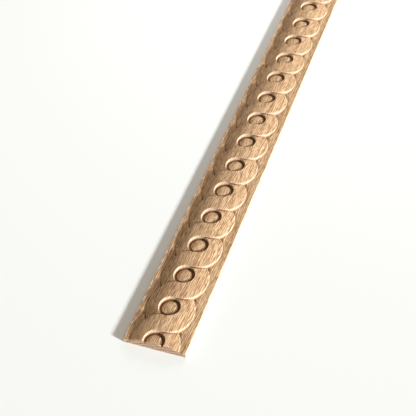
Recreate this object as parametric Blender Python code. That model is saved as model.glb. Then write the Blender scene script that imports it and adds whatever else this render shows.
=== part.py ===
"""Carved oak moulding: a flat-backed strip with a crowned face, cut square at both ends.

A row of sunk, domed buttons runs down the middle of the face, and S-shaped straps twist round
them. Each strap starts under its neighbour, passes the left side of one button, crosses over to
the right side of the next and dives under the strap after it.

The moulding lies on its flat back along X, with its face up. All lengths are in metres.
"""

import math

import bmesh
import bpy
from mathutils import Matrix, Vector

# Stock
LENGTH = 0.388              # between the two square cuts
WIDTH = 0.040
EDGE_THICKNESS = 0.0040     # along the plain flat edges
CROWN_THICKNESS = 0.0090    # along the middle of the face

# Repeat
PITCH = 0.025               # from one button to the next
FIRST_BUTTON = 0.0014       # from the near cut to the centre of the first button

# Straps
STRAP_REACH = 0.0155        # from the centre line to a strap's outer side, beside a button
STRAP_SIDE_RISE = 0.0008    # height of that outer side above the flat edge
OUTLINE_RADIUS = 0.0188     # of the arc that bounds a strap beside a button
NOTCH_SHIFT = 0.0016        # of the notch between two arcs, along X from the middle of a crossing
STEP_AT_EYE = 0.0009        # drop from a strap's top edge to the strap below, beside an eye
STEP_AT_NOTCH = 0.0017      # the same drop, at the notch
DIVE_SHARE = 0.28           # share of a strap's run over which each end dips

# Bend of a strap's edge on its way from an eye to a notch: the two control points of its curve, as
# shares of the way along X and across
BEND_AT_EYE = (-0.13, 0.33)
BEND_AT_NOTCH = (0.40, 0.805)

# Leans of the upright sides of the carving, in plan
STEP_LEAN = 0.0004
OUTLINE_LEAN = 0.00045
EYE_WALL_LEAN = 0.0006
BUTTON_SIDE_LEAN = 0.0003

# Eyes and buttons
EYE_RADIUS = 0.0070         # rim of the round hollow
EYE_TURN = math.radians(-3)  # where a strap's edge leaves the rim, from the X axis
GROOVE_WIDTH = 0.0013       # of the flat groove round the button
GROOVE_HEIGHT = 0.0055      # of its floor above the back
BUTTON_SIDE = 0.0009        # height of the button's side above the groove
BUTTON_DOME = 0.0009        # rise of its dome above that side

# Facets
EYE_STEPS = 9               # along half an eye
CROSS_STEPS = 4             # across a strap
OUTLINE_STEPS = 7           # along an outer arc
DOME_STEPS = 3              # from the button's side to its middle

SHARP_ANGLE = math.radians(35)
MERGE = 0.000005            # points nearer to each other than this are one point

OAK_COLOUR = (0.56, 0.38, 0.22, 1.0)
OAK_ROUGHNESS = 0.6

HALF_TURN = Matrix.Rotation(math.pi, 4, "Z")


def shares(steps):
    """Even shares from 0 to 1."""
    return [i / steps for i in range(steps + 1)]


def crown(y):
    """Height of the uncut face above the back, at distance y from the centre line."""
    side = EDGE_THICKNESS + STRAP_SIDE_RISE
    return CROWN_THICKNESS - (CROWN_THICKNESS - side) * (y / STRAP_REACH) ** 2


def dip(s, t):
    """How far a strap lies below the uncut face, at share s of its run and t of its width."""
    near = max(0.0, 1 - s / DIVE_SHARE) ** 1.5
    far = max(0.0, 1 - (1 - s) / DIVE_SHARE) ** 1.5
    fall = STEP_AT_NOTCH - STEP_AT_EYE
    return near * (STEP_AT_EYE + fall * t) + far * (STEP_AT_EYE + fall * (1 - t))


# Outlines in plan. Each repeat is laid out from the middle of its crossing, with one button half
# a pitch behind it and the next half a pitch ahead.

def on_eye(centre_x, angle):
    """A point on the rim of the eye round centre_x."""
    return Vector((centre_x + EYE_RADIUS * math.cos(angle), EYE_RADIUS * math.sin(angle)))


def outline_centre():
    """Centre of the arc that bounds the strap on the right of the button ahead."""
    return Vector((PITCH / 2 - NOTCH_SHIFT, OUTLINE_RADIUS - STRAP_REACH))


def on_outline(x):
    """The point at x on that arc."""
    centre = outline_centre()
    return Vector((x, centre.y - math.sqrt(OUTLINE_RADIUS ** 2 - (x - centre.x) ** 2)))


def strap_edge(eye_point, notch_point):
    """The edge of a strap from an eye's rim, which it leaves as a tangent, out to a notch."""
    span = notch_point - eye_point
    first, second = (eye_point + Vector((along * span.x, across * span.y))
                     for along, across in (BEND_AT_EYE, BEND_AT_NOTCH))
    points = []
    for t in shares(CROSS_STEPS):
        u = 1 - t
        points.append(u ** 3 * eye_point + 3 * u * u * t * first
                      + 3 * u * t * t * second + t ** 3 * notch_point)
    return points


def half_turned(points):
    """The points turned half round the middle of the crossing, in reverse order."""
    return [-p for p in reversed(points)]


def strap_outline():
    """The right side and the far end of a strap. Its left side and near end are these, turned.

    The right side runs round the eye behind, along the edge that lies on top of the neighbour,
    and then along the outer arc beside the button ahead.
    """
    tuck = STEP_LEAN / EYE_RADIUS
    start = math.pi + EYE_TURN - tuck
    eye = [on_eye(-PITCH / 2, start + (EYE_TURN - start) * t) for t in shares(EYE_STEPS)]
    notch = on_outline(-NOTCH_SHIFT)
    run = PITCH - STEP_LEAN
    outline = [on_outline(notch.x + run * t) for t in shares(OUTLINE_STEPS)]
    right = eye + strap_edge(eye[-1], notch)[1:] + outline[1:]
    far_end = strap_edge(on_eye(PITCH / 2, EYE_TURN - tuck), outline[-1])
    return right, far_end[::-1]


def strap_rows():
    """Rows of points over the top of a strap, each from its right side to its left."""
    right, far_end = strap_outline()
    left, near_end = half_turned(right), half_turned(far_end)
    rows = []
    for i, s in enumerate(shares(len(right) - 1)):
        row = []
        for j, t in enumerate(shares(CROSS_STEPS)):
            between_sides = right[i].lerp(left[i], t)
            between_ends = near_end[j].lerp(far_end[j], s)
            between_corners = right[0].lerp(left[0], t).lerp(right[-1].lerp(left[-1], t), s)
            plan = between_sides + between_ends - between_corners
            row.append(Vector((plan.x, plan.y, crown(plan.y) - dip(s, t))))
        rows.append(row)
    return rows


def foot_points(arc):
    """The foot of the wall under an outer arc, from one notch to the next."""
    centre = outline_centre()
    reach = (OUTLINE_RADIUS + OUTLINE_LEAN) / OUTLINE_RADIUS
    foot = []
    for p in arc:
        plan = centre + (p.xy - centre) * reach
        foot.append(Vector((plan.x, plan.y, EDGE_THICKNESS)))
    slope = (centre.y - arc[0].y) / OUTLINE_RADIUS
    foot[0] = Vector((arc[0].x - STEP_LEAN / 2, arc[0].y - OUTLINE_LEAN / slope, EDGE_THICKNESS))
    foot[-1] = foot[0] + Vector((PITCH, 0, 0))
    return foot


# Faces

def add_face(bm, points):
    bm.faces.new([bm.verts.new(p) for p in points])


def add_strip(bm, one_side, other_side):
    """Quads between two lines of points."""
    for a, b, c, d in zip(one_side, one_side[1:], other_side[1:], other_side):
        add_face(bm, (a, b, c, d))


def add_strap(bm, rows):
    for row, next_row in zip(rows, rows[1:]):
        add_strip(bm, row, next_row)


def add_side(bm, rows):
    """The right side of a repeat: the step to the strap below, the outer wall and the flat edge."""
    pitch = Vector((PITCH, 0, 0))
    notch = EYE_STEPS + CROSS_STEPS
    top = [row[0] for row in rows]
    below = [p - pitch for p in reversed(rows[-1])]
    add_strip(bm, top[EYE_STEPS:notch + 1], below)
    arc = top[notch:]
    foot = foot_points(arc)
    add_strip(bm, arc, foot)
    add_face(bm, (arc[-1], arc[0] + pitch, foot[-1]))
    corners = [Vector((p.x, -WIDTH / 2, EDGE_THICKNESS)) for p in (foot[-1], foot[0])]
    add_face(bm, foot + corners)


def eye_rings(rim):
    """Rings of points from an eye's rim down its wall and over the button, without its middle."""
    groove_radius = EYE_RADIUS - EYE_WALL_LEAN
    button_radius = groove_radius - GROOVE_WIDTH
    dome_radius = button_radius - BUTTON_SIDE_LEAN
    profile = [(groove_radius, GROOVE_HEIGHT), (button_radius, GROOVE_HEIGHT)]
    for t in shares(DOME_STEPS)[:-1]:
        profile.append((dome_radius * (1 - t), dome_height(1 - t)))
    rings = [rim]
    for radius, height in profile:
        share = radius / EYE_RADIUS
        rings.append([Vector((p.x * share, p.y * share, height)) for p in rim])
    return rings


def dome_height(share):
    """Height of the button above the back, at a share of its dome's radius."""
    return GROOVE_HEIGHT + BUTTON_SIDE + BUTTON_DOME * (1 - share ** 2)


def add_eye(bm, rows):
    """The hollow behind the crossing, with its button."""
    centre = Vector((-PITCH / 2, 0, 0))
    left_half = [row[0] - centre for row in rows[:EYE_STEPS + 1]]
    right_half = [HALF_TURN @ p for p in left_half]
    rings = [[p + centre for p in ring] for ring in eye_rings(left_half + right_half)]
    for ring, next_ring in zip(rings, rings[1:]):
        add_strip(bm, ring + ring[:1], next_ring + next_ring[:1])
    middle = centre + Vector((0, 0, dome_height(0)))
    last = rings[-1]
    for a, b in zip(last, last[1:] + last[:1]):
        add_face(bm, (a, b, middle))


def carved_repeat():
    """The face over one repeat, laid out from the middle of its crossing."""
    bm = bmesh.new()
    rows = strap_rows()
    add_side(bm, rows)
    bmesh.ops.duplicate(bm, geom=bm.verts[:] + bm.edges[:] + bm.faces[:])
    turned = bm.verts[len(bm.verts) // 2:]
    bmesh.ops.transform(bm, matrix=HALF_TURN, verts=turned)
    add_strap(bm, rows)
    add_eye(bm, rows)
    bmesh.ops.remove_doubles(bm, verts=bm.verts, dist=MERGE)
    mesh = bpy.data.meshes.new("repeat")
    bm.to_mesh(mesh)
    bm.free()
    return mesh


def carved_face(bm):
    """Repeats along the whole length, cut square at both ends."""
    repeat = carved_repeat()
    near_cut = -LENGTH / 2
    first_crossing = near_cut + FIRST_BUTTON + PITCH / 2
    for k in range(-2, math.ceil(LENGTH / PITCH) + 2):
        start = len(bm.verts)
        bm.from_mesh(repeat)
        bm.verts.ensure_lookup_table()
        bmesh.ops.translate(bm, verts=bm.verts[start:], vec=(first_crossing + k * PITCH, 0, 0))
    bpy.data.meshes.remove(repeat)
    bmesh.ops.remove_doubles(bm, verts=bm.verts, dist=MERGE)
    for side in (-1, 1):
        bmesh.ops.bisect_plane(bm, geom=bm.verts[:] + bm.edges[:] + bm.faces[:], dist=MERGE,
                               plane_co=(side * LENGTH / 2, 0, 0), plane_no=(side, 0, 0),
                               clear_outer=True)


def close_below(bm):
    """Plain sides and ends down to the flat back."""
    rim = [e for e in bm.edges if e.is_boundary]
    made = bmesh.ops.extrude_edge_only(bm, edges=rim)["geom"]
    for v in made:
        if isinstance(v, bmesh.types.BMVert):
            v.co.z = 0
    back = [e for e in bm.edges if e.is_boundary]
    bmesh.ops.contextual_create(bm, geom=back)
    seams = [e for e in bm.edges if is_upright(e) and not is_corner(e)]
    bmesh.ops.dissolve_edges(bm, edges=seams, use_verts=True)
    bmesh.ops.recalc_face_normals(bm, faces=bm.faces)


def is_upright(edge):
    a, b = (v.co for v in edge.verts)
    return (a.xy - b.xy).length < MERGE


def is_corner(edge):
    p = edge.verts[0].co
    return LENGTH / 2 - abs(p.x) < MERGE and WIDTH / 2 - abs(p.y) < MERGE


def oak():
    material = bpy.data.materials.new("oak")
    material.use_nodes = True
    shader = material.node_tree.nodes["Principled BSDF"]
    shader.inputs["Base Color"].default_value = OAK_COLOUR
    shader.inputs["Roughness"].default_value = OAK_ROUGHNESS
    shader.inputs["Metallic"].default_value = 0.0
    return material


def add_moulding():
    bm = bmesh.new()
    carved_face(bm)
    close_below(bm)
    mesh = bpy.data.meshes.new("carved_moulding")
    bm.to_mesh(mesh)
    bm.free()
    mesh.shade_smooth()
    mesh.set_sharp_from_angle(angle=SHARP_ANGLE)
    mesh.materials.append(oak())
    moulding = bpy.data.objects.new("carved_moulding", mesh)
    bpy.context.scene.collection.objects.link(moulding)


def main():
    for thing in list(bpy.data.objects):
        bpy.data.objects.remove(thing)
    add_moulding()


main()
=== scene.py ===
"""Carved oak moulding, dressed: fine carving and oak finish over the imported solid.

A row of sunk, domed buttons runs down the middle of the strip's crowned face, and S-shaped
straps twist round them. One repeat is modelled, copied along the strip, softened and cut square
at both ends. The strip lies on its flat back along X, with its face up. Lengths are in metres.
"""

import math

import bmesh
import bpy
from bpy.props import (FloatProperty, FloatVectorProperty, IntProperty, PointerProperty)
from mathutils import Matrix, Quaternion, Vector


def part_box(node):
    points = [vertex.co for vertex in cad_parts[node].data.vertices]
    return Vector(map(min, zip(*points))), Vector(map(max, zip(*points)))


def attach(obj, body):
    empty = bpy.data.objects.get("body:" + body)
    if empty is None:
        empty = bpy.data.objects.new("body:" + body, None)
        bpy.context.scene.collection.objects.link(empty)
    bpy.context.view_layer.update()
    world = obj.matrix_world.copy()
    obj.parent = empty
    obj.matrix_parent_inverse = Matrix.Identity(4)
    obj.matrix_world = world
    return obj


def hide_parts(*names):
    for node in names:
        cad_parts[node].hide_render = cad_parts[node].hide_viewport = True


bl_info = {
    "name": "Carved Oak Moulding",
    "version": (1, 0, 0),
    "blender": (4, 5, 0),
    "location": "View3D > Sidebar > Moulding",
    "description": "Models a strip of carved oak moulding and its studio",
    "category": "Add Mesh",
}

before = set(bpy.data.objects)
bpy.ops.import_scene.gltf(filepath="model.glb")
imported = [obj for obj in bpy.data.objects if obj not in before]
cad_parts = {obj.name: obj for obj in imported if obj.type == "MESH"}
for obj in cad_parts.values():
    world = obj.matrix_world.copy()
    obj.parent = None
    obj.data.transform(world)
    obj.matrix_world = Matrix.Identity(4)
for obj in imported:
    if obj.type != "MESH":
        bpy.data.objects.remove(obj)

CAD_NODE = "carved_moulding"
STOCK_LOW, STOCK_HIGH = (Vector(corner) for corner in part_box(CAD_NODE))
STOCK = STOCK_HIGH - STOCK_LOW
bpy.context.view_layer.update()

MERGE = 0.000005            # points nearer to each other than this are one point
MOST_TRIANGLES = 195000

# Options that many settings share
LENGTH = {"unit": "LENGTH", "precision": 4}
FINE_LENGTH = {"unit": "LENGTH", "precision": 5}
PLACE = {"size": 3, "subtype": "XYZ", "unit": "LENGTH"}
COLOUR = {"size": 3, "min": 0.0, "max": 1.0, "subtype": "COLOR"}
SHARE = {"min": 0.0, "max": 1.0, "subtype": "FACTOR"}


# Settings

class MouldingSizes(bpy.types.PropertyGroup):
    """Sizes of the strip and its carving."""

    length: FloatProperty(
        name="Length", description="Between the two square cuts",
        default=STOCK.x, min=0.05, **LENGTH)
    width: FloatProperty(
        name="Width", description="Of the flat back",
        default=STOCK.y, min=0.01, **LENGTH)
    crown_thickness: FloatProperty(
        name="Crown thickness", description="Along the middle of the face",
        default=STOCK.z, min=0.002, **LENGTH)
    edge_thickness: FloatProperty(
        name="Edge thickness", description="Along the plain flat edges",
        default=0.0040, min=0.001, **LENGTH)
    arris: FloatProperty(
        name="Arris", description="Of the softened long edges and back edges",
        default=0.0003, min=0.0, **LENGTH)

    pitch: FloatProperty(
        name="Pitch", description="From one button to the next",
        default=0.025, min=0.01, **LENGTH)
    first_button: FloatProperty(
        name="First button", description="From the near cut to the centre of the first button",
        default=0.0014, **LENGTH)

    strap_reach: FloatProperty(
        name="Strap reach", description="From the centre line to a strap's outer side",
        default=0.0155, min=0.005, **LENGTH)
    strap_side_rise: FloatProperty(
        name="Strap side rise", description="Height of a strap's outer side above the flat edge",
        default=0.0008, min=0.0, **LENGTH)
    outline_radius: FloatProperty(
        name="Outline radius", description="Of the arc that bounds a strap beside a button",
        default=0.0188, min=0.005, **LENGTH)
    notch_shift: FloatProperty(
        name="Notch shift", description="Of the notch between two arcs, along the strip",
        default=0.0016, **LENGTH)
    step_at_eye: FloatProperty(
        name="Step at eye", description="Drop from a strap to the one below, beside an eye",
        default=0.0009, min=0.0, **LENGTH)
    step_at_notch: FloatProperty(
        name="Step at notch", description="Drop from a strap to the one below, at the notch",
        default=0.0017, min=0.0, **LENGTH)
    dive_share: FloatProperty(
        name="Dive share", description="Share of a strap's run over which each end dips",
        default=0.28, min=0.05, max=0.5, subtype="FACTOR")
    step_lean: FloatProperty(
        name="Step lean", description="Lean of the step between two straps, in plan",
        default=0.0004, min=0.0, **LENGTH)
    outline_lean: FloatProperty(
        name="Outline lean", description="Lean of a strap's outer wall, in plan",
        default=0.00025, min=0.0, **FINE_LENGTH)
    bend_at_eye: FloatVectorProperty(
        name="Bend at eye", description="First control point of a strap's edge from an eye to a "
        "notch, as shares of the way along and across", default=(-0.13, 0.33), size=2)
    bend_at_notch: FloatVectorProperty(
        name="Bend at notch", description="Second control point of that edge, as shares of the "
        "way along and across", default=(0.40, 0.805), size=2)

    foot_sink: FloatProperty(
        name="Foot sink", description="Depth of the line cut along the foot of the outer walls",
        default=0.00015, min=0.0, **FINE_LENGTH)
    shoulder: FloatProperty(
        name="Shoulder", description="From that line out to the undisturbed flat edge",
        default=0.0007, min=0.0001, **FINE_LENGTH)
    pit_depth: FloatProperty(
        name="Pit depth", description="How much deeper that line is at a notch",
        default=0.0011, min=0.0, **LENGTH)
    pit_width: FloatProperty(
        name="Pit width", description="How much wider that line is at a notch",
        default=0.0010, min=0.0, **LENGTH)
    pit_reach: FloatProperty(
        name="Pit reach", description="Length of that place beside the strap that dives",
        default=0.0060, min=0.001, **LENGTH)
    cusp_rise: FloatProperty(
        name="Cusp rise", description="How far the flat edge rises into a notch",
        default=0.0008, min=0.0, **LENGTH)
    cusp_reach: FloatProperty(
        name="Cusp reach", description="From a notch to where the flat edge is flat",
        default=0.0070, min=0.001, **LENGTH)

    eye_radius: FloatProperty(
        name="Eye radius", description="Rim of the round hollow",
        default=0.0070, min=0.001, **LENGTH)
    eye_turn: FloatProperty(
        name="Eye turn", description="Where a strap's edge leaves the rim, from the strip's axis",
        default=math.radians(-3), subtype="ANGLE")
    eye_wall_lean: FloatProperty(
        name="Eye wall lean", description="Lean of the hollow's wall, in plan",
        default=0.0006, min=0.0, **LENGTH)
    groove_width: FloatProperty(
        name="Groove width", description="Of the flat groove round a button",
        default=0.0013, min=0.0001, **LENGTH)
    groove_height: FloatProperty(
        name="Groove height", description="Of the groove's floor above the back",
        default=0.0055, min=0.001, **LENGTH)
    button_side: FloatProperty(
        name="Button side", description="Height of a button's side above the groove",
        default=0.0009, min=0.0, **LENGTH)
    button_side_lean: FloatProperty(
        name="Button side lean", description="Lean of a button's side, in plan",
        default=0.0003, min=0.0, **LENGTH)
    button_dome: FloatProperty(
        name="Button dome", description="Rise of a button's dome above its side",
        default=0.0009, min=0.0, **LENGTH)

    tool_marks: FloatProperty(
        name="Tool marks", description="Greatest depth of the unevenness left by the cutters",
        default=0.00012, min=0.0, **FINE_LENGTH)
    tool_mark_size: FloatProperty(
        name="Tool mark size", description="Spread of one such uneven place",
        default=0.007, min=0.001, **LENGTH)
    edge_crease: FloatProperty(
        name="Edge crease", description="How sharp the cut edges stay when they are softened",
        default=0.6, **SHARE)
    sharp_angle: FloatProperty(
        name="Sharp angle", description="Edges that turn by more than this stay sharp",
        default=math.radians(32), subtype="ANGLE")

    eye_steps: IntProperty(
        name="Eye steps", description="Edges along half an eye", default=20, min=6)
    cross_steps: IntProperty(
        name="Cross steps", description="Edges across a strap", default=12, min=4)
    outline_steps: IntProperty(
        name="Outline steps", description="Edges along an outer arc", default=24, min=6)
    dome_steps: IntProperty(
        name="Dome steps", description="Rings over a button's dome", default=4, min=2)


class OakFinish(bpy.types.PropertyGroup):
    """Colours and grain of the oak."""

    grain_turn: FloatVectorProperty(
        name="Grain turn", description="How the grain runs out of line with the strip",
        default=(0.0, math.radians(1.5), math.radians(2.5)), size=3, subtype="EULER")
    light_wood: FloatVectorProperty(
        name="Light wood", description="The close summer wood",
        default=(0.655, 0.458, 0.28), **COLOUR)
    dark_wood: FloatVectorProperty(
        name="Dark wood", description="The fine lines and the open spring wood",
        default=(0.30, 0.155, 0.062), **COLOUR)
    pore: FloatVectorProperty(
        name="Pore", description="Inside the open pores",
        default=(0.17, 0.072, 0.025), **COLOUR)
    # Painted highlight colour on steep walls and sharp edges, partly also the paler wood of clean
    # cuts and rubbed edges.
    pale_highlight_cut: FloatVectorProperty(
        name="Pale highlight", description="The steep walls that the cutters left clean",
        default=(0.90, 0.77, 0.59), **COLOUR)
    # Painted shade: the hollow colour is dark brown put into narrow grooves and pits where shade
    # falls.
    hollow: FloatVectorProperty(
        name="Hollow", description="Narrow grooves and pits",
        default=(0.145, 0.05, 0.0115), **COLOUR)
    shade_reach: FloatProperty(
        name="Hollow reach", description="How near its walls are where wood counts as hollow",
        default=0.0022, min=0.0001, **LENGTH)
    # Painted shade is lighter on the right, the key light's side; these bound that change across
    # the strip.
    lit_side: FloatVectorProperty(
        name="Pale side", description="Places across the strip between which the hollows turn "
        "from the paler ones on the right to the dark ones",
        default=(-0.0125, -0.0095), size=2, **LENGTH)
    lit_side_share: FloatProperty(
        name="Pale side share", description="Share of the dark colour in those paler hollows",
        default=0.25, **SHARE)
    end_grain: FloatVectorProperty(
        name="End grain", description="Tint of the sawn ends",
        default=(0.62, 0.47, 0.38), **COLOUR)
    ring_centre: FloatVectorProperty(
        name="Ring centre", description="A point on the tree's axis, which runs along the strip",
        default=(0.0, -0.038, -0.082), **PLACE)
    ring_spacing: FloatProperty(
        name="Ring spacing", description="From one growth ring to the next",
        default=0.0028, min=0.0005, **LENGTH)
    ring_sway: FloatProperty(
        name="Ring sway", description="How far the rings wander, in ring spacings",
        default=2.4, min=0.0)
    line_spacing: FloatProperty(
        name="Line spacing", description="From one fine line of the grain to the next",
        default=0.00108, min=0.0001, **FINE_LENGTH)
    line_sway: FloatProperty(
        name="Line sway", description="How far the fine lines wander, in line spacings",
        default=5.0, min=0.0)
    pore_length: FloatProperty(
        name="Pore length", description="Of an open pore along the grain",
        default=0.0042, min=0.0005, **LENGTH)
    pore_width: FloatProperty(
        name="Pore width", description="Of an open pore across the grain",
        default=0.00044, min=0.0001, **FINE_LENGTH)
    roughness: FloatProperty(
        name="Roughness", description="Of the bare cut wood",
        default=0.6, **SHARE)
    sheen: FloatProperty(
        name="Sheen", description="Strength of the faint gloss on the bare wood",
        default=0.2, **SHARE)


class Studio(bpy.types.PropertyGroup):
    """Floor, lights and camera."""

    floor_size: FloatProperty(
        name="Floor size", description="Side of the square floor",
        default=6.0, min=1.0, unit="LENGTH")
    floor_colour: FloatVectorProperty(
        name="Floor colour", description="Of the plain pale floor",
        default=(0.775, 0.808, 0.81), **COLOUR)
    key_strength: FloatProperty(
        name="Key strength", description="Of the main light", default=6.55, min=0.0)
    key_colour: FloatVectorProperty(
        name="Key colour", description="Of the main light",
        default=(0.95, 0.98, 1.0), **COLOUR)
    key_heading: FloatProperty(
        name="Key heading", description="Side the main light comes from, from +X towards +Y",
        default=math.radians(-104), subtype="ANGLE")
    key_elevation: FloatProperty(
        name="Key elevation", description="Height of the main light above the floor",
        default=math.radians(21), subtype="ANGLE")
    key_softness: FloatProperty(
        name="Key softness", description="Width of the main light as the strip sees it",
        default=math.radians(7), subtype="ANGLE")
    fill_strength: FloatProperty(
        name="Fill strength", description="Of the even light from all round",
        default=0.40, min=0.0)
    fill_colour: FloatVectorProperty(
        name="Fill colour", description="Of the even light from all round",
        default=(1.0, 0.85, 0.70), **COLOUR)
    front_power: FloatProperty(
        name="Front power", description="Of the broad soft light on the camera's side",
        default=1.2, min=0.0, unit="POWER")
    front_size: FloatProperty(
        name="Front size", description="Side of that light's square panel",
        default=0.8, min=0.1, unit="LENGTH")
    front_place: FloatVectorProperty(
        name="Front place", description="Middle of that panel",
        default=(-1.25, -0.55, 0.45), **PLACE)
    far_power: FloatProperty(
        name="Far power", description="Of the small soft light over the far end",
        default=0.85, min=0.0, unit="POWER")
    far_size: FloatProperty(
        name="Far size", description="Side of that light's square panel",
        default=0.3, min=0.05, unit="LENGTH")
    far_place: FloatVectorProperty(
        name="Far place", description="Middle of that panel",
        default=(0.40, -0.10, 0.38), **PLACE)
    camera_aim: FloatVectorProperty(
        name="Camera aim", description="Point that the camera looks at",
        default=(-0.0795, 0.0081, 0.0), **PLACE)
    camera_distance: FloatProperty(
        name="Camera distance", description="From that point to the camera",
        default=0.5185, min=0.1, **LENGTH)
    camera_heading: FloatProperty(
        name="Camera heading", description="Way the camera looks, from +X towards +Y",
        default=math.radians(26.95), subtype="ANGLE")
    camera_elevation: FloatProperty(
        name="Camera elevation", description="How far down the camera looks",
        default=math.radians(46.94), subtype="ANGLE")
    camera_roll: FloatProperty(
        name="Camera roll", description="Turn about the line of sight, right side down",
        default=math.radians(9.5), subtype="ANGLE")
    camera_lens: FloatProperty(
        name="Camera lens", description="Focal length in millimetres",
        default=65.6, min=10.0)


# Heights of the carved face

def shares(steps):
    """Even shares from 0 to 1."""
    return [i / steps for i in range(steps + 1)]


def crown(size, y):
    """Height of the uncut face above the back, at distance y from the centre line."""
    side = size.edge_thickness + size.strap_side_rise
    return size.crown_thickness - (size.crown_thickness - side) * (y / size.strap_reach) ** 2


def dip(size, s, t):
    """How far a strap lies below the uncut face, at share s of its run and t of its width."""
    near = max(0.0, 1 - s / size.dive_share) ** 1.5
    far = max(0.0, 1 - (1 - s) / size.dive_share) ** 1.5
    fall = size.step_at_notch - size.step_at_eye
    return near * (size.step_at_eye + fall * t) + far * (size.step_at_eye + fall * (1 - t))


def dome_height(size, share):
    """Height of a button above the back, at a share of its dome's radius."""
    return size.groove_height + size.button_side + size.button_dome * (1 - share ** 2)


# Outlines in plan. A repeat is laid out from the middle of its crossing, with one button half a
# pitch behind it and the next half a pitch ahead.

def on_eye(size, centre_x, angle):
    """A point on the rim of the eye round centre_x."""
    return Vector((centre_x + size.eye_radius * math.cos(angle),
                   size.eye_radius * math.sin(angle)))


def outline_centre(size):
    """Centre of the arc that bounds the strap on the right of the button ahead."""
    return Vector((size.pitch / 2 - size.notch_shift, size.outline_radius - size.strap_reach))


def on_outline(size, x):
    """The point at x on that arc."""
    centre = outline_centre(size)
    return Vector((x, centre.y - math.sqrt(size.outline_radius ** 2 - (x - centre.x) ** 2)))


def strap_edge(size, eye_point, notch_point):
    """The edge of a strap from an eye's rim, which it leaves as a tangent, out to a notch."""
    span = notch_point - eye_point
    first, second = (eye_point + Vector((along * span.x, across * span.y))
                     for along, across in (size.bend_at_eye, size.bend_at_notch))
    points = []
    for t in shares(size.cross_steps):
        u = 1 - t
        points.append(u ** 3 * eye_point + 3 * u * u * t * first
                      + 3 * u * t * t * second + t ** 3 * notch_point)
    return points


def half_turned(points):
    """The points turned half round the middle of the crossing, in reverse order."""
    return [-p for p in reversed(points)]


def strap_outline(size):
    """The right side and the far end of a strap. Its left side and near end are these, turned.

    The right side runs round the eye behind, along the edge that lies on top of the neighbour,
    and then along the outer arc beside the button ahead.
    """
    tuck = size.step_lean / size.eye_radius
    start = math.pi + size.eye_turn - tuck
    eye = [on_eye(size, -size.pitch / 2, start + (size.eye_turn - start) * t)
           for t in shares(size.eye_steps)]
    notch = on_outline(size, -size.notch_shift)
    run = size.pitch - size.step_lean
    outline = [on_outline(size, notch.x + run * t) for t in shares(size.outline_steps)]
    right = eye + strap_edge(size, eye[-1], notch)[1:] + outline[1:]
    far_end = strap_edge(size, on_eye(size, size.pitch / 2, size.eye_turn - tuck), outline[-1])
    return right, far_end[::-1]


def strap_rows(size):
    """Rows of points over the top of a strap, each from its right side to its left."""
    right, far_end = strap_outline(size)
    left, near_end = half_turned(right), half_turned(far_end)
    rows = []
    for i, s in enumerate(shares(len(right) - 1)):
        row = []
        for j, t in enumerate(shares(size.cross_steps)):
            between_sides = right[i].lerp(left[i], t)
            between_ends = near_end[j].lerp(far_end[j], s)
            between_corners = right[0].lerp(left[0], t).lerp(right[-1].lerp(left[-1], t), s)
            plan = between_sides + between_ends - between_corners
            row.append(Vector((plan.x, plan.y, crown(size, plan.y) - dip(size, s, t))))
        rows.append(row)
    return rows


def step_lines(size, rows):
    """The edge of a strap where it lies on its neighbour, and the neighbour's end below it."""
    notch = size.eye_steps + size.cross_steps
    top = [row[0] for row in rows[size.eye_steps:notch + 1]]
    below = [p - Vector((size.pitch, 0, 0)) for p in reversed(rows[-1])]
    return top, below


def fade(distance, reach):
    """1 at no distance, falling to 0 at the reach."""
    return max(0.0, 1 - distance / reach) ** 2


def pit_share(size, arc, p):
    """How strongly a point of an outer arc belongs to the pit where the strap dives."""
    before = fade(abs(p.x - arc[-1].x), size.pit_reach)
    after = fade(abs(p.x - arc[0].x), size.pit_width)
    return max(before, after)


def beside_arc(size, arc, out, out_at_notch=0.0):
    """An outer arc moved out in plan, from the mitre at one notch to the mitre at the next."""
    centre = outline_centre(size)
    plan = []
    for p in arc:
        here = out + out_at_notch * pit_share(size, arc, p)
        plan.append(centre + (p.xy - centre) * (1 + here / size.outline_radius))
    slope = (centre.y - arc[0].y) / size.outline_radius
    mitre = (out + out_at_notch) / slope
    plan[0] = Vector((arc[0].x - size.step_lean / 2, arc[0].y - mitre))
    plan[-1] = plan[0] + Vector((size.pitch, 0))
    return plan


def side_lines(size, rows):
    """Lines from an outer arc down its wall and over the flat edge to the side of the strip."""
    notch = size.eye_steps + size.cross_steps
    arc = [row[0] for row in rows[notch:]]
    top = size.edge_thickness
    ground = []
    for p in arc:
        from_notch = min(abs(p.x - arc[0].x), abs(p.x - arc[-1].x))
        ground.append(top + size.cusp_rise * fade(from_notch, size.cusp_reach))
    foot = []
    for p, on_arc, height in zip(beside_arc(size, arc, size.outline_lean), arc, ground):
        sink = size.foot_sink + size.pit_depth * pit_share(size, arc, on_arc)
        foot.append(Vector((p.x, p.y, height - sink)))
    out = size.outline_lean + size.shoulder
    shoulder = [Vector((p.x, p.y, height))
                for p, height in zip(beside_arc(size, arc, out, size.pit_width), ground)]
    side = -size.width / 2
    run = foot[-1].x - foot[0].x
    rim = [Vector((foot[0].x + run * t, side + size.arris, top))
           for t in shares(size.outline_steps)]
    middle = [a.lerp(b, 0.5) for a, b in zip(shoulder, rim)]
    for p in middle:
        p.z = top
    edge = [Vector((p.x, side, top - size.arris)) for p in rim]
    return [arc, foot, shoulder, middle, rim, edge]


# Modelling steps

def start_edit(piece, kind="VERT"):
    """Edit mode on one piece, with nothing selected in it."""
    if bpy.context.object and bpy.context.object.mode != "OBJECT":
        bpy.ops.object.mode_set(mode="OBJECT")
    bpy.ops.object.select_all(action="DESELECT")
    bpy.context.view_layer.objects.active = piece
    piece.select_set(True)
    bpy.ops.object.mode_set(mode="EDIT")
    bpy.ops.mesh.select_mode(type=kind)
    bpy.ops.mesh.select_all(action="DESELECT")


def end_edit():
    bpy.ops.object.mode_set(mode="OBJECT")


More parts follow.
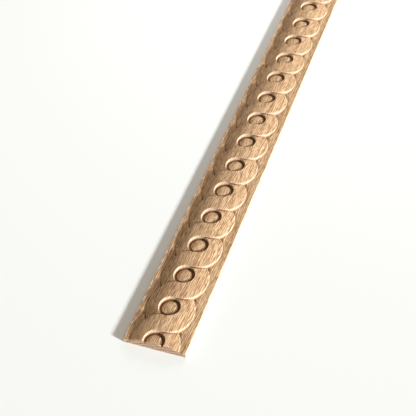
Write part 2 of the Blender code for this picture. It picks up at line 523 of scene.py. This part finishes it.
def add_primitive(name, add, **options):
    """A new primitive, alone selected, under its own name."""
    if bpy.context.object and bpy.context.object.mode != "OBJECT":
        end_edit()
    bpy.ops.object.select_all(action="DESELECT")
    add(**options)
    piece = bpy.context.object
    piece.name = piece.data.name = name
    return piece


def apply_modifier(piece, name, kind, **settings):
    """Adds a modifier and applies it."""
    modifier = piece.modifiers.new(name, kind)
    for setting, value in settings.items():
        setattr(modifier, setting, value)
    bpy.context.view_layer.objects.active = piece
    bpy.ops.object.modifier_apply(modifier=modifier.name)


def spot(point):
    """A point as whole numbers of the merging distance."""
    return tuple(round(c / MERGE) for c in point)


def selected_points(mesh):
    return [v for v in mesh.verts if v.select]


def select_line(piece, line):
    """Selects the edges along a line of the piece's own points."""
    bpy.ops.mesh.select_all(action="DESELECT")
    mesh = bmesh.from_edit_mesh(piece.data)
    at = {spot(v.co): v for v in mesh.verts}
    points = [at[spot(p)] for p in line]
    for a, b in zip(points, points[1:]):
        edge = mesh.edges.get((a, b))
        if edge is None:
            raise RuntimeError("the line leaves the edges of the piece")
        edge.select_set(True)
    bmesh.update_edit_mesh(piece.data)


def extrude_line(piece, line, targets):
    """Extrudes the edges along a line of points, and sets each new point on its target."""
    select_line(piece, line)
    bpy.ops.mesh.extrude_edges_move()
    mesh = bmesh.from_edit_mesh(piece.data)
    to = {spot(p): target for p, target in zip(line, targets)}
    for v in selected_points(mesh):
        v.co = to[spot(v.co)]
    bmesh.update_edit_mesh(piece.data)


def fill_between(piece, corners):
    """A face between points that the piece already has."""
    bpy.ops.mesh.select_all(action="DESELECT")
    mesh = bmesh.from_edit_mesh(piece.data)
    wanted = {spot(p) for p in corners}
    for v in mesh.verts:
        if spot(v.co) in wanted:
            v.select_set(True)
    mesh.select_flush_mode()
    bmesh.update_edit_mesh(piece.data)
    bpy.ops.mesh.edge_face_add()


def drop_ring(factor, centre, height):
    """Extrudes the selected ring inwards by a factor, flat at a height above the back."""
    bpy.ops.mesh.extrude_edges_move()
    bpy.ops.transform.resize(value=(factor, factor, 0), center_override=(centre, 0, height))


def open_edges(mesh):
    return [e for e in mesh.edges if not e.is_manifold]


# Pieces

class MOULDING_OT_add_strap(bpy.types.Operator):
    """Add one S-shaped strap, with its steps, its outer walls and the flat edges beside it"""
    bl_idname = "moulding.add_strap"
    bl_label = "Add strap"

    def execute(self, context):
        size = context.scene.moulding_sizes
        rows = strap_rows(size)
        strap = add_primitive("strap", bpy.ops.mesh.primitive_grid_add,
                              x_subdivisions=len(rows[0]) - 1, y_subdivisions=len(rows) - 1)
        points = [p for row in rows for p in row]
        if len(strap.data.vertices) != len(points):
            raise RuntimeError("the strap's grid doesn't match its rows")
        for v, p in zip(strap.data.vertices, points):
            v.co = p
        start_edit(strap)
        self.add_side(strap, step_lines(size, rows), side_lines(size, rows))
        turned_step = [self.turned(line) for line in step_lines(size, rows)]
        turned_side = [self.turned(line) for line in side_lines(size, rows)]
        self.add_side(strap, turned_step, turned_side)
        end_edit()
        return {"FINISHED"}

    def turned(self, line):
        return [Vector((-p.x, -p.y, p.z)) for p in line]

    def add_side(self, strap, step, side):
        top, below = step
        extrude_line(strap, top, below)
        for line, next_line in zip(side, side[1:]):
            extrude_line(strap, line, next_line)
        arc, foot = side[0], side[1]
        fill_between(strap, (below[-1], arc[0], foot[0]))


class MOULDING_OT_add_eye(bpy.types.Operator):
    """Add the round hollow behind a crossing, with the domed button in it"""
    bl_idname = "moulding.add_eye"
    bl_label = "Add eye and button"

    def execute(self, context):
        size = context.scene.moulding_sizes
        rim = self.rim_points(size)
        eye = add_primitive("eye", bpy.ops.mesh.primitive_circle_add,
                            vertices=len(rim), fill_type="NOTHING")
        for v, p in zip(eye.data.vertices, rim):
            v.co = p
        start_edit(eye, "EDGE")
        bpy.ops.mesh.select_all(action="SELECT")
        centre = -size.pitch / 2
        radius = size.eye_radius
        for next_radius, height in self.profile(size):
            drop_ring(next_radius / radius, centre, height)
            radius = next_radius
        bpy.ops.mesh.extrude_edges_move()
        bpy.ops.mesh.merge(type="CENTER")
        rise = dome_height(size, 0) - dome_height(size, 1 / size.dome_steps)
        bpy.ops.transform.translate(value=(0, 0, rise))
        end_edit()
        return {"FINISHED"}

    def rim_points(self, size):
        """The rim, half of it from each of the two straps that meet round the eye."""
        centre = Vector((-size.pitch / 2, 0, 0))
        left_half = [row[0] - centre for row in strap_rows(size)[:size.eye_steps + 1]]
        right_half = [Vector((-p.x, -p.y, p.z)) for p in left_half]
        return [p + centre for p in left_half + right_half]

    def profile(self, size):
        """Radius and height of each ring inside the rim, without the button's middle."""
        groove_radius = size.eye_radius - size.eye_wall_lean
        button_radius = groove_radius - size.groove_width
        dome_radius = button_radius - size.button_side_lean
        rings = [(groove_radius, size.groove_height), (button_radius, size.groove_height)]
        for t in shares(size.dome_steps)[:-1]:
            rings.append((dome_radius * (1 - t), dome_height(size, 1 - t)))
        return rings


class MOULDING_OT_join_strip(bpy.types.Operator):
    """Copy the repeat along the strip, soften its edges, cut it square and close its back"""
    bl_idname = "moulding.join_strip"
    bl_label = "Join strip"

    def execute(self, context):
        size = context.scene.moulding_sizes
        strip = self.one_repeat()
        self.copy_along(strip, size)
        self.crease_edges(strip, size)
        apply_modifier(strip, "Soften", "SUBSURF", levels=1, render_levels=1)
        self.mark_with_tools(strip, size)
        self.cut_ends(strip, size)
        self.close_back(strip, size)
        strip.data.shade_smooth()
        bpy.ops.object.shade_smooth_by_angle(angle=size.sharp_angle)
        self.check(strip)
        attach(strip, "root")
        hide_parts(CAD_NODE)
        return {"FINISHED"}

    def one_repeat(self):
        strap = bpy.data.objects["strap"]
        eye = bpy.data.objects["eye"]
        bpy.ops.object.select_all(action="DESELECT")
        eye.select_set(True)
        strap.select_set(True)
        bpy.context.view_layer.objects.active = strap
        bpy.ops.object.join()
        strap.name = strap.data.name = "carved_strip"
        return strap

    def copy_along(self, strip, size):
        """Enough repeats to reach past both ends, joined where they meet."""
        spare = 2
        count = math.ceil(size.length / size.pitch) + 2 * spare
        first_crossing = -size.length / 2 + size.first_button + size.pitch / 2
        start_edit(strip)
        bpy.ops.mesh.select_all(action="SELECT")
        bpy.ops.mesh.remove_doubles(threshold=MERGE)
        bpy.ops.transform.translate(value=(first_crossing - spare * size.pitch, 0, 0))
        end_edit()
        apply_modifier(strip, "Repeat", "ARRAY", count=count, use_relative_offset=False,
                       use_constant_offset=True, constant_offset_displace=(size.pitch, 0, 0))
        start_edit(strip)
        bpy.ops.mesh.select_all(action="SELECT")
        bpy.ops.mesh.remove_doubles(threshold=MERGE)
        bpy.ops.mesh.normals_make_consistent(inside=False)
        end_edit()

    def crease_edges(self, strip, size):
        start_edit(strip, "EDGE")
        bpy.ops.mesh.edges_select_sharp(sharpness=size.sharp_angle)
        bpy.ops.transform.edge_crease(value=size.edge_crease)
        end_edit()

    def mark_with_tools(self, strip, size):
        """Slightly uneven cuts, always downwards."""
        uneven = bpy.data.textures.new("uneven cuts", "CLOUDS")
        uneven.noise_scale = size.tool_mark_size
        uneven.noise_depth = 1
        apply_modifier(strip, "Tool marks", "DISPLACE", texture=uneven, direction="Z",
                       mid_level=0.0, strength=-size.tool_marks)

    def cut_ends(self, strip, size):
        """Cuts the strip to length, and sets the cut points exactly on the plane of the cut."""
        start_edit(strip)
        for side in (-1, 1):
            bpy.ops.mesh.select_all(action="SELECT")
            bpy.ops.mesh.bisect(plane_co=(side * size.length / 2, 0, 0), plane_no=(side, 0, 0),
                                clear_outer=True, threshold=MERGE)
            bpy.ops.transform.resize(value=(0, 1, 1),
                                     center_override=(side * size.length / 2, 0, 0))
        end_edit()

    def close_back(self, strip, size):
        """Plain sides and ends, a softened back edge and the flat back."""
        start_edit(strip, "EDGE")
        bpy.ops.mesh.select_non_manifold()
        bpy.ops.mesh.extrude_edges_move()
        bpy.ops.transform.resize(value=(1, 1, 0), center_override=(0, 0, size.arris))
        bpy.ops.mesh.extrude_edges_move()
        inset = (1 - 2 * size.arris / size.length, 1 - 2 * size.arris / size.width, 0)
        bpy.ops.transform.resize(value=inset, center_override=(0, 0, 0))
        bpy.ops.mesh.edge_face_add()
        bpy.ops.mesh.select_all(action="DESELECT")
        bpy.ops.mesh.select_mode(type="FACE")
        self.dissolve_end(strip, size, -1)
        self.dissolve_end(strip, size, 1)
        bpy.ops.mesh.select_all(action="SELECT")
        bpy.ops.mesh.normals_make_consistent(inside=False)
        end_edit()

    def dissolve_end(self, strip, size, side):
        """Makes one face of all the faces in a sawn end."""
        bpy.ops.mesh.select_all(action="DESELECT")
        mesh = bmesh.from_edit_mesh(strip.data)
        for face in mesh.faces:
            if all(abs(v.co.x - side * size.length / 2) < MERGE for v in face.verts):
                face.select_set(True)
        bmesh.update_edit_mesh(strip.data)
        bpy.ops.mesh.dissolve_faces()

    def check(self, strip):
        mesh = bmesh.new()
        mesh.from_mesh(strip.data)
        left_open = len(open_edges(mesh))
        triangles = sum(len(face.verts) - 2 for face in mesh.faces)
        volume = mesh.calc_volume(signed=True)
        mesh.free()
        if left_open:
            raise RuntimeError(f"the strip has {left_open} open edges")
        if volume < 0:
            raise RuntimeError("the strip is inside out")
        if triangles > MOST_TRIANGLES:
            raise RuntimeError(f"the strip has {triangles} triangles")
        print("carved_strip triangles", triangles)


# Oak

def add_node(tree, kind, settings=None, inputs=None):
    """A node with its settings. Each input is a plain value or the socket that feeds it."""
    node = tree.nodes.new(kind)
    for name, value in (settings or {}).items():
        setattr(node, name, value)
    for name, value in (inputs or {}).items():
        if isinstance(value, bpy.types.NodeSocket):
            tree.links.new(value, node.inputs[name])
        else:
            node.inputs[name].default_value = value
    return node


def calculate(tree, operation, *values):
    settings = {"operation": operation}
    return add_node(tree, "ShaderNodeMath", settings, dict(enumerate(values))).outputs[0]


def ramp(tree, value, low, high, to_low=0.0, to_high=1.0):
    """A value eased from one range to another."""
    inputs = {"Value": value, "From Min": low, "From Max": high,
              "To Min": to_low, "To Max": to_high}
    return add_node(tree, "ShaderNodeMapRange", {"interpolation_type": "SMOOTHSTEP"},
                    inputs).outputs["Result"]


def noise(tree, vector, stretch, detail=2.0, roughness=0.5):
    """Noise from 0 to 1, with stretch blotches to the metre along each axis."""
    scaled = add_node(tree, "ShaderNodeVectorMath", {"operation": "MULTIPLY"},
                      {0: vector, 1: stretch}).outputs[0]
    inputs = {"Vector": scaled, "Scale": 1.0, "Detail": detail, "Roughness": roughness}
    return add_node(tree, "ShaderNodeTexNoise", inputs=inputs).outputs[0]


def mix(tree, share, first, second, blend="MIX"):
    """A blend of two colours."""
    settings = {"data_type": "RGBA", "blend_type": blend}
    return add_node(tree, "ShaderNodeMix", settings, {0: share, 6: first, 7: second}).outputs[2]


def opaque(colour):
    return (*colour, 1.0)


def new_group(name, sockets_in, sockets_out):
    """A node group with named sockets, and its input and output nodes."""
    tree = bpy.data.node_groups.new(name, "ShaderNodeTree")
    for socket, kind in sockets_in:
        tree.interface.new_socket(name=socket, in_out="INPUT", socket_type=kind)
    for socket, kind in sockets_out:
        tree.interface.new_socket(name=socket, in_out="OUTPUT", socket_type=kind)
    return tree, tree.nodes.new("NodeGroupInput"), tree.nodes.new("NodeGroupOutput")


def growth_rings(finish):
    """Growth rings round an axis along X: how porous the wood is at a place, and its tone."""
    tree, given, out = new_group(
        "Growth rings",
        [("Vector", "NodeSocketVector"), ("Centre", "NodeSocketVector"),
         ("Spacing", "NodeSocketFloat")],
        [("Early wood", "NodeSocketFloat"), ("Tone", "NodeSocketFloat")])
    vector = given.outputs["Vector"]
    from_axis = add_node(tree, "ShaderNodeVectorMath", {"operation": "SUBTRACT"},
                         {0: vector, 1: given.outputs["Centre"]}).outputs[0]
    across = add_node(tree, "ShaderNodeVectorMath", {"operation": "MULTIPLY"},
                      {0: from_axis, 1: (0.0, 1.0, 1.0)}).outputs[0]
    distance = add_node(tree, "ShaderNodeVectorMath", {"operation": "LENGTH"},
                        {0: across}).outputs["Value"]
    sway = noise(tree, vector, (9.0, 60.0, 60.0), detail=1.0)
    rings = calculate(tree, "DIVIDE", distance, given.outputs["Spacing"])
    swayed = calculate(tree, "MULTIPLY_ADD", sway, finish.ring_sway, rings)
    phase = calculate(tree, "FRACT", swayed)
    early = calculate(tree, "SUBTRACT", 1.0, ramp(tree, phase, 0.30, 0.62))
    start = ramp(tree, phase, 0.0, 0.06)
    tree.links.new(calculate(tree, "MULTIPLY", early, start), out.inputs["Early wood"])
    broad = noise(tree, vector, (5.0, 90.0, 90.0), detail=3.0)
    tree.links.new(broad, out.inputs["Tone"])
    return tree


def open_pores(finish):
    """Marks along the grain: pores, broken fine lines and fibres.

    The pores are short dark dashes, and dots where the grain is cut across.
    """
    tree, given, out = new_group(
        "Open pores",
        [("Vector", "NodeSocketVector"), ("Length", "NodeSocketFloat"),
         ("Width", "NodeSocketFloat"), ("Spacing", "NodeSocketFloat"),
         ("Early wood", "NodeSocketFloat")],
        [("Pores", "NodeSocketFloat"), ("Streaks", "NodeSocketFloat"),
         ("Fibres", "NodeSocketFloat")])
    vector = given.outputs["Vector"]
    along = calculate(tree, "DIVIDE", 1.0, given.outputs["Length"])
    across = calculate(tree, "DIVIDE", 1.0, given.outputs["Width"])
    stretch = add_node(tree, "ShaderNodeCombineXYZ", inputs={
        0: along, 1: across, 2: calculate(tree, "MULTIPLY", across, 0.35)}).outputs[0]
    cells = noise(tree, vector, stretch, detail=1.5, roughness=0.5)
    openness = calculate(tree, "MULTIPLY_ADD", given.outputs["Early wood"], 0.05, cells)
    tree.links.new(ramp(tree, openness, 0.545, 0.595), out.inputs["Pores"])
    sway = noise(tree, vector, (22.0, 160.0, 110.0), detail=2.0)
    aside = add_node(tree, "ShaderNodeSeparateXYZ", inputs={0: vector}).outputs["Y"]
    lines = calculate(tree, "MULTIPLY_ADD", sway, finish.line_sway, calculate(
        tree, "DIVIDE", aside, given.outputs["Spacing"]))
    from_line = calculate(tree, "ABSOLUTE", calculate(
        tree, "SUBTRACT", calculate(tree, "FRACT", lines), 0.5))
    breaks = noise(tree, vector, (150.0, 1100.0, 420.0), detail=1.0)
    tree.links.new(calculate(tree, "MULTIPLY", ramp(tree, from_line, 0.10, 0.34, 1.0, 0.0),
                             ramp(tree, breaks, 0.36, 0.56, 0.35, 1.0)), out.inputs["Streaks"])
    fibres = noise(tree, vector, (160.0, 4200.0, 4200.0), detail=2.0)
    tree.links.new(fibres, out.inputs["Fibres"])
    return tree


def carving_wear_and_light(finish):
    """Painted highlight on steep walls and sharp edges, and painted shade in narrow hollows.

    The highlight is partly also the paler wood of clean cuts and rubbed edges. The shade is
    lighter on the right side, where the key light comes from, than on the rest.
    """
    tree, given, out = new_group(
        "Carving wear and light", [("Vector", "NodeSocketVector"), ("Reach", "NodeSocketFloat")],
        [("Cuts", "NodeSocketFloat"), ("Edges", "NodeSocketFloat"),
         ("Hollow shade", "NodeSocketFloat")])
    # Painted highlight on steep walls, partly also the paler wood of clean cuts.
    normal = add_node(tree, "ShaderNodeTexCoord").outputs["Normal"]
    upright = add_node(tree, "ShaderNodeSeparateXYZ", inputs={0: normal}).outputs["Z"]
    tree.links.new(ramp(tree, upright, 0.45, 0.8, 1.0, 0.0), out.inputs["Cuts"])
    # Painted highlight on sharp edges, partly also rubbed wood.
    pointed = add_node(tree, "ShaderNodeNewGeometry").outputs["Pointiness"]
    tree.links.new(ramp(tree, pointed, 0.525, 0.61), out.inputs["Edges"])
    # Painted shade in narrow hollows, from occlusion, with less of it on the right where the key
    # light comes from.
    open_sky = add_node(tree, "ShaderNodeAmbientOcclusion", {"samples": 8, "only_local": True},
                        {"Distance": given.outputs["Reach"]}).outputs["AO"]
    shut_in = calculate(tree, "SUBTRACT", 1.0, open_sky)
    aside = add_node(tree, "ShaderNodeSeparateXYZ", inputs={
        0: given.outputs["Vector"]}).outputs["Y"]
    kept = ramp(tree, aside, *finish.lit_side, finish.lit_side_share, 1.0)
    tree.links.new(calculate(tree, "MULTIPLY", ramp(tree, shut_in, 0.15, 0.40), kept),
                   out.inputs["Hollow shade"])
    return tree


def oak_groups(finish):
    """The three shared groups, made once."""
    made = bpy.data.node_groups
    return (made.get("Growth rings") or growth_rings(finish),
            made.get("Open pores") or open_pores(finish),
            made.get("Carving wear and light") or carving_wear_and_light(finish))


def oak_material(name, finish, ring_contrast=0.12, end_grain=0.0, cut_highlight_share=0.35,
                 roughness=None):
    """Oak on the strip's own coordinates, as a solid that every cut shows from inside."""
    rings_group, pores_group, wear_and_light_group = oak_groups(finish)
    material = bpy.data.materials.new(name)
    material.use_nodes = True
    tree = material.node_tree
    shader = tree.nodes["Principled BSDF"]
    shader.inputs["Roughness"].default_value = roughness or finish.roughness
    shader.inputs["Specular IOR Level"].default_value = finish.sheen
    on_strip = add_node(tree, "ShaderNodeTexCoord").outputs["Object"]
    place = add_node(tree, "ShaderNodeMapping", inputs={
        "Vector": on_strip, "Rotation": finish.grain_turn}).outputs["Vector"]

    rings = add_node(tree, "ShaderNodeGroup", {"node_tree": rings_group}, {
        "Vector": place, "Centre": finish.ring_centre, "Spacing": finish.ring_spacing})
    early = rings.outputs["Early wood"]
    grain = add_node(tree, "ShaderNodeGroup", {"node_tree": pores_group}, {
        "Vector": place, "Length": finish.pore_length, "Width": finish.pore_width,
        "Spacing": finish.line_spacing, "Early wood": early})
    wear_and_light = add_node(tree, "ShaderNodeGroup", {"node_tree": wear_and_light_group}, {
        "Vector": on_strip, "Reach": finish.shade_reach})

    light, dark, pore, pale_highlight, hollow, tint = (
        opaque(colour) for colour in
        (finish.light_wood, finish.dark_wood, finish.pore, finish.pale_highlight_cut, finish.hollow,
         finish.end_grain))
    tone = calculate(tree, "MULTIPLY_ADD", early, ring_contrast,
                     ramp(tree, rings.outputs["Tone"], 0.3, 0.75, 0.0, 0.12))
    tone = calculate(tree, "MULTIPLY_ADD", grain.outputs["Streaks"], 0.9, tone)
    wood = mix(tree, tone, light, dark)
    if end_grain:
        wood = mix(tree, end_grain, wood, tint)
    # The pale colour on steep walls and edges is partly a painted highlight; the hollow colour is
    # painted shade.
    layers = ((grain, "Pores", 0.55, pore), (wear_and_light, "Cuts", cut_highlight_share, pale_highlight),
              (wear_and_light, "Edges", 0.5, pale_highlight), (wear_and_light, "Hollow shade", 0.95, hollow))
    for group, output, strength, colour in layers:
        share = calculate(tree, "MULTIPLY", group.outputs[output], strength)
        wood = mix(tree, share, wood, colour)
    tree.links.new(wood, shader.inputs["Base Color"])

    height = calculate(tree, "MULTIPLY_ADD", grain.outputs["Pores"], -1.0,
                       calculate(tree, "MULTIPLY", grain.outputs["Fibres"], 0.35))
    bump = add_node(tree, "ShaderNodeBump", inputs={
        "Strength": 0.7, "Distance": 0.0002, "Height": height})
    tree.links.new(bump.outputs["Normal"], shader.inputs["Normal"])
    return material


class MOULDING_OT_finish_oak(bpy.types.Operator):
    """Give the strip its oak: cut wood on the face, sides and back, sawn wood on the ends"""
    bl_idname = "moulding.finish_oak"
    bl_label = "Finish oak"

    def execute(self, context):
        finish = context.scene.oak_finish
        size = context.scene.moulding_sizes
        strip = bpy.data.objects["carved_strip"]
        strip.data.materials.clear()
        strip.data.materials.append(oak_material("carved oak", finish))
        strip.data.materials.append(oak_material(
            "sawn oak", finish, ring_contrast=1.2, end_grain=0.35, cut_highlight_share=0.0, roughness=0.75))
        half = size.length / 2
        for face in strip.data.polygons:
            sawn = abs(face.normal.x) > 0.99 and abs(abs(face.center.x) - half) < MERGE
            face.material_index = 1 if sawn else 0
        return {"FINISHED"}


# Studio

def toward(heading, elevation):
    """The direction at a heading from +X towards +Y, raised above the floor."""
    return Vector((math.cos(heading) * math.cos(elevation),
                   math.sin(heading) * math.cos(elevation),
                   math.sin(elevation)))


class MOULDING_OT_set_studio(bpy.types.Operator):
    """Lay a plain pale floor under the strip, light it softly and set the camera"""
    bl_idname = "moulding.set_studio"
    bl_label = "Set studio"

    def execute(self, context):
        studio = context.scene.studio
        self.lay_floor(studio)
        self.light(context.scene, studio)
        self.set_camera(context.scene, studio)
        context.scene.view_settings.view_transform = "Standard"
        return {"FINISHED"}

    def lay_floor(self, studio):
        floor = add_primitive("floor", bpy.ops.mesh.primitive_plane_add, size=studio.floor_size)
        material = bpy.data.materials.new("pale floor")
        material.use_nodes = True
        shader = material.node_tree.nodes["Principled BSDF"]
        shader.inputs["Base Color"].default_value = opaque(studio.floor_colour)
        shader.inputs["Roughness"].default_value = 0.9
        floor.data.materials.append(material)

    def light(self, scene, studio):
        """A low key light from the right, two soft lights and even light from all round.

        The front light is turned to the near half of the strip and the far light to the other.
        """
        bpy.ops.object.light_add(type="SUN")
        key = bpy.context.object
        key.name = "key light"
        key.data.energy = studio.key_strength
        key.data.color = studio.key_colour
        key.data.angle = studio.key_softness
        key.rotation_euler = (toward(studio.key_heading, studio.key_elevation)
                              .to_track_quat("Z", "Y").to_euler())
        aim = Vector(studio.camera_aim)
        self.add_soft_light("front light", Vector(studio.front_place), aim,
                            studio.front_power, studio.front_size)
        self.add_soft_light("far light", Vector(studio.far_place), -aim,
                            studio.far_power, studio.far_size)
        world = bpy.data.worlds.new("studio")
        world.use_nodes = True
        background = world.node_tree.nodes["Background"]
        background.inputs["Color"].default_value = opaque(studio.fill_colour)
        background.inputs["Strength"].default_value = studio.fill_strength
        scene.world = world

    def add_soft_light(self, name, place, aim, power, width):
        """A square panel of light, turned to the point that it lights."""
        bpy.ops.object.light_add(type="AREA", location=place)
        light = bpy.context.object
        light.name = name
        light.data.energy = power
        light.data.size = width
        light.rotation_euler = (aim - place).to_track_quat("-Z", "Y").to_euler()

    def set_camera(self, scene, studio):
        back = toward(studio.camera_heading + math.pi, studio.camera_elevation)
        place = Vector(studio.camera_aim) + back * studio.camera_distance
        bpy.ops.object.camera_add(location=place)
        camera = bpy.context.object
        camera.name = "camera"
        turn = Quaternion((0, 0, 1), -studio.camera_roll)
        camera.rotation_euler = ((-back).to_track_quat("-Z", "Y") @ turn).to_euler()
        camera.data.lens = studio.camera_lens
        scene.camera = camera


# Panel

class MOULDING_PT_panel(bpy.types.Panel):
    """Buttons that make the moulding, with its settings"""
    bl_label = "Carved moulding"
    bl_idname = "MOULDING_PT_panel"
    bl_space_type = "VIEW_3D"
    bl_region_type = "UI"
    bl_category = "Moulding"

    def draw(self, context):
        for operator in OPERATORS:
            self.layout.operator(operator.bl_idname)
        for settings in SETTINGS:
            group = getattr(context.scene, settings)
            box = self.layout.box()
            for name in group.bl_rna.properties.keys():
                if name not in ("rna_type", "name"):
                    box.prop(group, name)


OPERATORS = (MOULDING_OT_add_strap, MOULDING_OT_add_eye, MOULDING_OT_join_strip,
             MOULDING_OT_finish_oak, MOULDING_OT_set_studio)
SETTINGS = {"moulding_sizes": MouldingSizes, "oak_finish": OakFinish, "studio": Studio}


def register():
    for cls in (*SETTINGS.values(), *OPERATORS, MOULDING_PT_panel):
        bpy.utils.register_class(cls)
    for name, cls in SETTINGS.items():
        setattr(bpy.types.Scene, name, PointerProperty(type=cls))


def unregister():
    for name in SETTINGS:
        delattr(bpy.types.Scene, name)
    for cls in (MOULDING_PT_panel, *OPERATORS, *SETTINGS.values()):
        bpy.utils.unregister_class(cls)


def main():
    register()
    bpy.ops.moulding.add_strap()
    bpy.ops.moulding.add_eye()
    bpy.ops.moulding.join_strip()
    bpy.ops.moulding.finish_oak()
    bpy.ops.moulding.set_studio()


if __name__ == "__main__":
    main()
